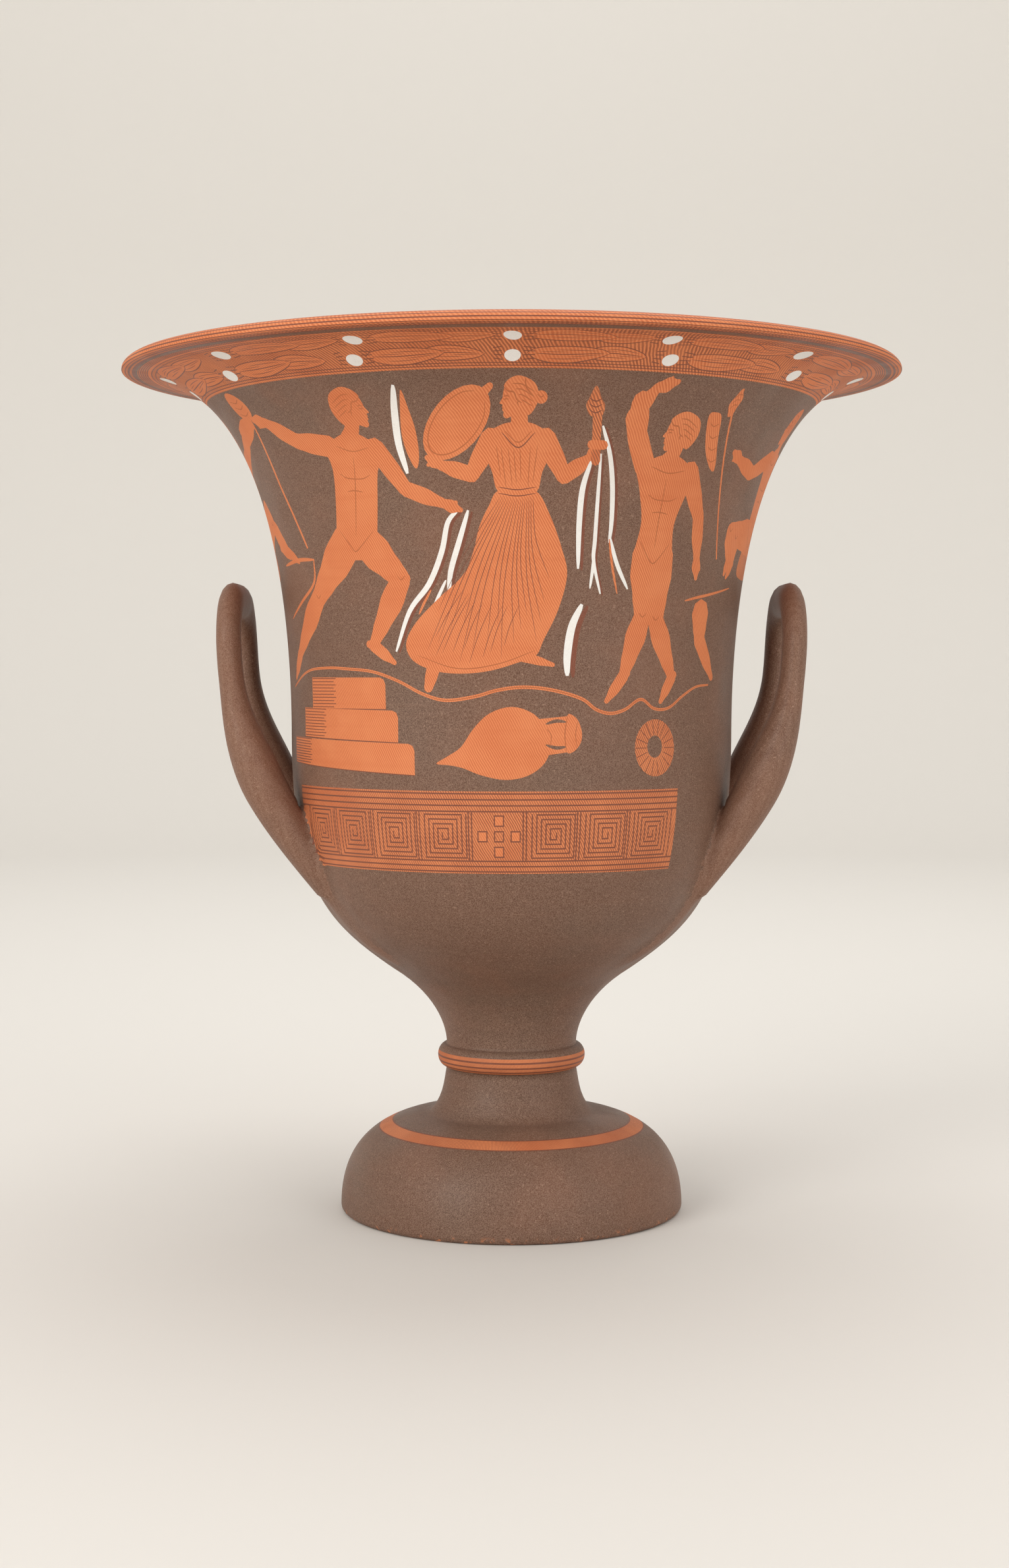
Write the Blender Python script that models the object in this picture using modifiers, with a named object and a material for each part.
"""A calyx krater: a turned wine-mixing bowl on a stemmed foot, with two upturned loop handles.

The whole vase is one piece of fired clay. Metres, +Z up. The origin is the centre of the face that it
stands on, the handles lie along X, and the picture side faces -Y.
"""

import math

import bmesh
import bpy
from mathutils import Vector
from mathutils.geometry import interpolate_bezier

# Heights of the turned members, stacked from the floor up
FOOT_HEIGHT = 0.0520
LOWER_STEM_HEIGHT = 0.0245
RING_HEIGHT = 0.0120
UPPER_STEM_HEIGHT = 0.0415
BOWL_HEIGHT = 0.1250
WALL_HEIGHT = 0.1862

# Radii of the turned members
FOOT_RADIUS = 0.0912
FOOT_SHOULDER_RADIUS = 0.0430
STEM_RADIUS = 0.0346
RING_RADIUS = 0.0393
BOWL_ROOT_RADIUS = 0.0640
WAIST_RADIUS = 0.1167
LIP_RADIUS = 0.2040

# The lip is a thin edge round the flare: it droops from its crest to its tip and turns back under
LIP_OVERHANG = 0.0073
LIP_DROOP = 0.0051

# Thicknesses of the clay: the wall leaves the lip as thick as the lip, and thickens down to the bowl
LIP_THICKNESS = 0.0063
BOWL_THICKNESS = 0.0095
FLOOR_THICKNESS = 0.0130
STEM_THICKNESS = 0.0105
FOOT_THICKNESS = 0.0110
FOOT_EDGE_ROUNDING = 0.0030

# The bowl's floor dips this far below the bowl's root
FLOOR_DIP = 0.0040

# Handles: two legs that spring from the bowl and a bar that joins their tops
HANDLE_SPAN = 0.0800
HANDLE_STANDOFF = 0.0295
HANDLE_SPRING_BELOW_WAIST = 0.1020
HANDLE_TOP_ABOVE_WAIST = 0.0690
HANDLE_CORNER_RADIUS = 0.0260
HANDLE_WIDTH = 0.0190
HANDLE_THICKNESS = 0.0130

# Where a leg springs, its middle lies this deep under the bowl's face; its root lies lower and further in
HANDLE_SPRING_DEPTH = 0.0080
HANDLE_ROOT_DEPTH = 0.0190
HANDLE_ROOT_DROP = 0.0040

# How stout a leg is against the bar: at its root in the wall, and the stoutness that it grows towards
HANDLE_ROOT_STOUTNESS = 1.10
HANDLE_LEG_STOUTNESS = 1.74

# Facets
SEGMENTS = 48
HANDLE_STATIONS = 40
HANDLE_BEVEL_RESOLUTION = 4

SLIP_BROWN = (0.145, 0.082, 0.055, 1.0)
SLIP_ROUGHNESS = 0.42

UNDER_RING = FOOT_HEIGHT + LOWER_STEM_HEIGHT
OVER_RING = UNDER_RING + RING_HEIGHT
BOWL_ROOT = OVER_RING + UPPER_STEM_HEIGHT
WAIST = BOWL_ROOT + BOWL_HEIGHT
UNDER_LIP = WAIST + WALL_HEIGHT
RIM = UNDER_LIP + LIP_THICKNESS
FLARE_RADIUS = LIP_RADIUS - LIP_OVERHANG

OUTWARDS = 0.0
UP = 90.0
INWARDS = 180.0
DOWN = -90.0


def direction(degrees):
    """A unit step in the profile's plane: 0 runs outwards and 90 runs up."""
    return Vector((math.cos(math.radians(degrees)), math.sin(math.radians(degrees))))


def sweep(start, leave, leave_pull, end, arrive, arrive_pull, points):
    """One free curve of the profile. Its pulls are shares of the distance between its ends."""
    start = Vector(start)
    end = Vector(end)
    distance = (end - start).length
    first_pull = start + direction(leave) * leave_pull * distance
    last_pull = end - direction(arrive) * arrive_pull * distance
    return interpolate_bezier(start, first_pull, last_pull, end, points)


def round_over(centre, across, upright, start, end, points):
    """A quarter or half round of the profile, from one angle to another."""
    turned = []
    for index in range(points):
        angle = start + (end - start) * index / (points - 1)
        step = direction(angle)
        turned.append(Vector((centre[0] + across * step.x, centre[1] + upright * step.y)))
    return turned


def set_in(points, first_thickness, last_thickness):
    """The other face of a wall: each point moves into the clay, square to the curve that runs down."""
    moved = []
    last = len(points) - 1
    for index, point in enumerate(points):
        before = points[max(index - 1, 0)]
        after = points[min(index + 1, last)]
        along = (after - before).normalized()
        thickness = first_thickness + (last_thickness - first_thickness) * index / last
        moved.append(point + Vector((along.y, -along.x)) * thickness)
    return moved


def joined(*runs):
    """One list of points out of several that share their end points."""
    points = []
    for run in runs:
        for point in run:
            if not points or (point - points[-1]).length > 1e-6:
                points.append(point)
    return points


def wall_curve(points):
    """The flared wall, from the lip's underside down to the waist."""
    return sweep((FLARE_RADIUS, UNDER_LIP), -INWARDS, 0.331, (WAIST_RADIUS, WAIST), DOWN, 0.357, points)


def bowl_curve(points):
    """The rounded bowl, from the waist down to its root on the stem."""
    return sweep((WAIST_RADIUS, WAIST), DOWN, 0.60, (BOWL_ROOT_RADIUS, BOWL_ROOT), -145.0, 0.323, points)


def foot_curve(points):
    """The foot's rounded top, from its shoulder out and down to its edge."""
    shoulder = (FOOT_SHOULDER_RADIUS, FOOT_HEIGHT)
    return sweep(shoulder, -5.0, 0.46, (FOOT_RADIUS, FOOT_EDGE_ROUNDING), DOWN, 0.43, points)


def inside_profile():
    """From the middle of the bowl's floor up to the crest of the lip."""
    wall = set_in(joined(wall_curve(10), bowl_curve(7)), LIP_THICKNESS, BOWL_THICKNESS)
    wall.reverse()
    floor = sweep((0.0, BOWL_ROOT - FLOOR_DIP), OUTWARDS, 0.35, wall[0], 35.0, 0.35, 5)
    return joined(floor, wall)


def outside_profile():
    """From the crest of the lip down to the foot's edge."""
    tip_level = (FLARE_RADIUS, RIM - LIP_DROOP)
    lip_top = round_over(tip_level, LIP_OVERHANG, LIP_DROOP, UP, OUTWARDS, 5)
    lip_under = round_over(tip_level, LIP_OVERHANG, LIP_THICKNESS - LIP_DROOP, OUTWARDS, DOWN, 3)
    upper_stem = sweep(
        (BOWL_ROOT_RADIUS, BOWL_ROOT), -148.0, 0.59, (STEM_RADIUS, OVER_RING), DOWN, 0.14, 7
    )
    half_ring = RING_HEIGHT / 2
    ring_bulge = RING_RADIUS - STEM_RADIUS
    ring = round_over((STEM_RADIUS, UNDER_RING + half_ring), ring_bulge, half_ring, UP, DOWN, 6)
    shoulder = (FOOT_SHOULDER_RADIUS, FOOT_HEIGHT)
    lower_stem = sweep((STEM_RADIUS, UNDER_RING), -80.0, 0.35, shoulder, -50.0, 0.4, 4)
    rounding = FOOT_EDGE_ROUNDING
    foot_edge = round_over((FOOT_RADIUS - rounding, rounding), rounding, rounding, OUTWARDS, DOWN, 3)
    lip = joined(lip_top, lip_under)
    stem = joined(upper_stem, ring, lower_stem)
    return joined(lip, wall_curve(12), bowl_curve(10), stem, foot_curve(8), foot_edge)


def underside_profile():
    """From the inner edge of the standing ring up into the hollow stem."""
    foot = set_in(foot_curve(6), FOOT_THICKNESS, FOOT_THICKNESS)
    foot.reverse()
    standing_edge = Vector((foot[0].x, 0.0))
    bore = STEM_RADIUS - STEM_THICKNESS
    bore_foot = (bore, UNDER_RING)
    flare = sweep(foot[-1], 166.0, 0.45, bore_foot, UP, 0.45, 4)
    dome_height = BOWL_ROOT - FLOOR_DIP - FLOOR_THICKNESS - OVER_RING
    dome = round_over((0.0, OVER_RING), bore, dome_height, OUTWARDS, UP, 5)
    return joined([standing_edge], foot, flare, dome)


def new_collection(name):
    collection = bpy.data.collections.new(name)
    bpy.context.scene.collection.children.link(collection)
    return collection


def slip_material():
    """The dark gloss that covers the clay."""
    material = bpy.data.materials.new("dark_slip")
    material.use_nodes = True
    shader = material.node_tree.nodes["Principled BSDF"]
    shader.inputs["Base Color"].default_value = SLIP_BROWN
    shader.inputs["Roughness"].default_value = SLIP_ROUGHNESS
    shader.inputs["Metallic"].default_value = 0.0
    material.diffuse_color = SLIP_BROWN
    return material


def turned(name, points):
    """A solid of revolution about the Z axis from a profile whose ends lie on that axis."""
    points[0].x = 0.0
    points[-1].x = 0.0
    mesh = bpy.data.meshes.new(name)
    edges = [(index, index + 1) for index in range(len(points) - 1)]
    mesh.from_pydata([(point.x, 0.0, point.y) for point in points], edges, [])
    solid = bpy.data.objects.new(name, mesh)
    screw = solid.modifiers.new("turning", "SCREW")
    screw.steps = SEGMENTS
    screw.render_steps = SEGMENTS
    screw.use_merge_vertices = True
    screw.merge_threshold = 0.0001
    screw.use_smooth_shade = True
    return solid


def core_of_wall():
    """A plug that fills the bowl out to the middle of its wall, where the handles' roots are cut off."""
    side = set_in(joined(wall_curve(6), bowl_curve(10)), LIP_THICKNESS / 2, BOWL_THICKNESS / 2)
    return turned("wall_core", joined([Vector((0.0, side[0].y))], side, [Vector((0.0, side[-1].y))]))


def as_guide(thing, collection):
    """Keeps a shape that only cuts or joins out of the finished part."""
    thing.hide_render = True
    thing.display_type = "WIRE"
    collection.objects.link(thing)


def radius_of_bowl(height):
    """The bowl's outer radius at a height, read along its curve."""
    points = bowl_curve(40)
    for above, below in zip(points, points[1:]):
        if below.y <= height <= above.y:
            share = (height - below.y) / (above.y - below.y)
            return below.x + (above.x - below.x) * share
    return WAIST_RADIUS


def handle_sheet():
    """The line that the handle follows, seen along Y: out of the bowl's wall, then up to its top."""
    spring_height = WAIST - HANDLE_SPRING_BELOW_WAIST
    spring_radius = radius_of_bowl(spring_height)
    bowl_face = math.sqrt(spring_radius**2 - (HANDLE_SPAN / 2) ** 2)
    spring = Vector((bowl_face - HANDLE_SPRING_DEPTH, spring_height))
    root = spring - Vector((HANDLE_ROOT_DEPTH, HANDLE_ROOT_DROP))
    top = (WAIST_RADIUS + HANDLE_STANDOFF, WAIST + HANDLE_TOP_ABOVE_WAIST)
    return joined(
        sweep(root, OUTWARDS, 0.40, spring, 53.0, 0.30, 12), sweep(spring, 53.0, 0.55, top, UP, 0.39, 60)
    )


def at_length(points, length):
    """The point at this length along a line of points."""
    for start, end in zip(points, points[1:]):
        step = (end - start).length
        if length <= step:
            return start + (end - start) * (length / step)
        length -= step
    return points[-1]


def handle_path():
    """Points along one handle with how stout it is at each, up one leg, over the bar and down."""
    sheet = handle_sheet()
    rise = sum((end - start).length for start, end in zip(sheet, sheet[1:]))
    half_span = HANDLE_SPAN / 2
    corner = HANDLE_CORNER_RADIUS
    leg = rise - corner
    quarter = corner * math.pi / 2
    half_bar = half_span - corner
    half_length = leg + quarter + half_bar
    path = []
    for index in range(HANDLE_STATIONS):
        along = 2 * half_length * index / (HANDLE_STATIONS - 1)
        from_root = min(along, 2 * half_length - along)
        if from_root <= leg:
            up, inwards = from_root, 0.0
        elif from_root <= leg + quarter:
            turn = (from_root - leg) / corner
            up, inwards = leg + corner * math.sin(turn), corner * (1 - math.cos(turn))
        else:
            up, inwards = rise, corner + from_root - leg - quarter
        side = -1.0 if along <= half_length else 1.0
        point = at_length(sheet, up)
        path.append((Vector((point.x, side * (half_span - inwards), point.y)), stoutness(from_root / leg)))
    return path


def eased(share):
    """A share from 0 to 1, with a soft start and a soft end."""
    share = min(max(share, 0.0), 1.0)
    return share * share * (3.0 - 2.0 * share)


def stoutness(share):
    """How stout a leg is along its length: it grows out of the wall, then slims towards the bar."""
    growth = (HANDLE_LEG_STOUTNESS - HANDLE_ROOT_STOUTNESS) * eased(share / 0.80)
    slimming = (HANDLE_LEG_STOUTNESS - 1.0) * eased((share - 0.61) / 0.32)
    return HANDLE_ROOT_STOUTNESS + growth - slimming


def handle_mesh(name):
    """One handle at +X: a round tube, made wider apart along X and then pressed flat to its thickness."""
    flatness = HANDLE_THICKNESS / HANDLE_WIDTH
    curve = bpy.data.curves.new(name, "CURVE")
    curve.dimensions = "3D"
    curve.bevel_depth = HANDLE_WIDTH / 2
    curve.bevel_resolution = HANDLE_BEVEL_RESOLUTION
    curve.use_fill_caps = True
    path = handle_path()
    spline = curve.splines.new("POLY")
    spline.points.add(len(path) - 1)
    for spline_point, (place, stout) in zip(spline.points, path):
        spline_point.co = (place.x / flatness, place.y, place.z, 1.0)
        spline_point.radius = stout
    tube = bpy.data.objects.new(name, curve)
    bpy.context.scene.collection.objects.link(tube)
    depsgraph = bpy.context.evaluated_depsgraph_get()
    mesh = bpy.data.meshes.new_from_object(tube.evaluated_get(depsgraph))
    bpy.data.objects.remove(tube)
    build = bmesh.new()
    build.from_mesh(mesh)
    bmesh.ops.remove_doubles(build, verts=build.verts, dist=0.00001)
    bmesh.ops.scale(build, vec=(flatness, 1.0, 1.0), verts=build.verts)
    build.to_mesh(mesh)
    build.free()
    return mesh


def add_boolean(thing, name, operation, other):
    boolean = thing.modifiers.new(name, "BOOLEAN")
    boolean.operation = operation
    boolean.solver = "EXACT"
    boolean.object = other


def add_handles(body, guides):
    """Joins two handles to the body, one turned half round from the other, with their roots in its wall."""
    mesh = handle_mesh("handle")
    core = core_of_wall()
    as_guide(core, guides)
    for side, turn in (("right", 0.0), ("left", math.pi)):
        handle = bpy.data.objects.new("handle_" + side, mesh)
        handle.rotation_euler.z = turn
        as_guide(handle, guides)
        add_boolean(handle, "root_cut", "DIFFERENCE", core)
        add_boolean(body, "join_" + side, "UNION", handle)


def main():
    for thing in list(bpy.data.objects):
        bpy.data.objects.remove(thing)
    krater = turned("calyx_krater", joined(inside_profile(), outside_profile(), underside_profile()))
    krater.data.materials.append(slip_material())
    new_collection("krater").objects.link(krater)
    add_handles(krater, new_collection("guides"))


main()
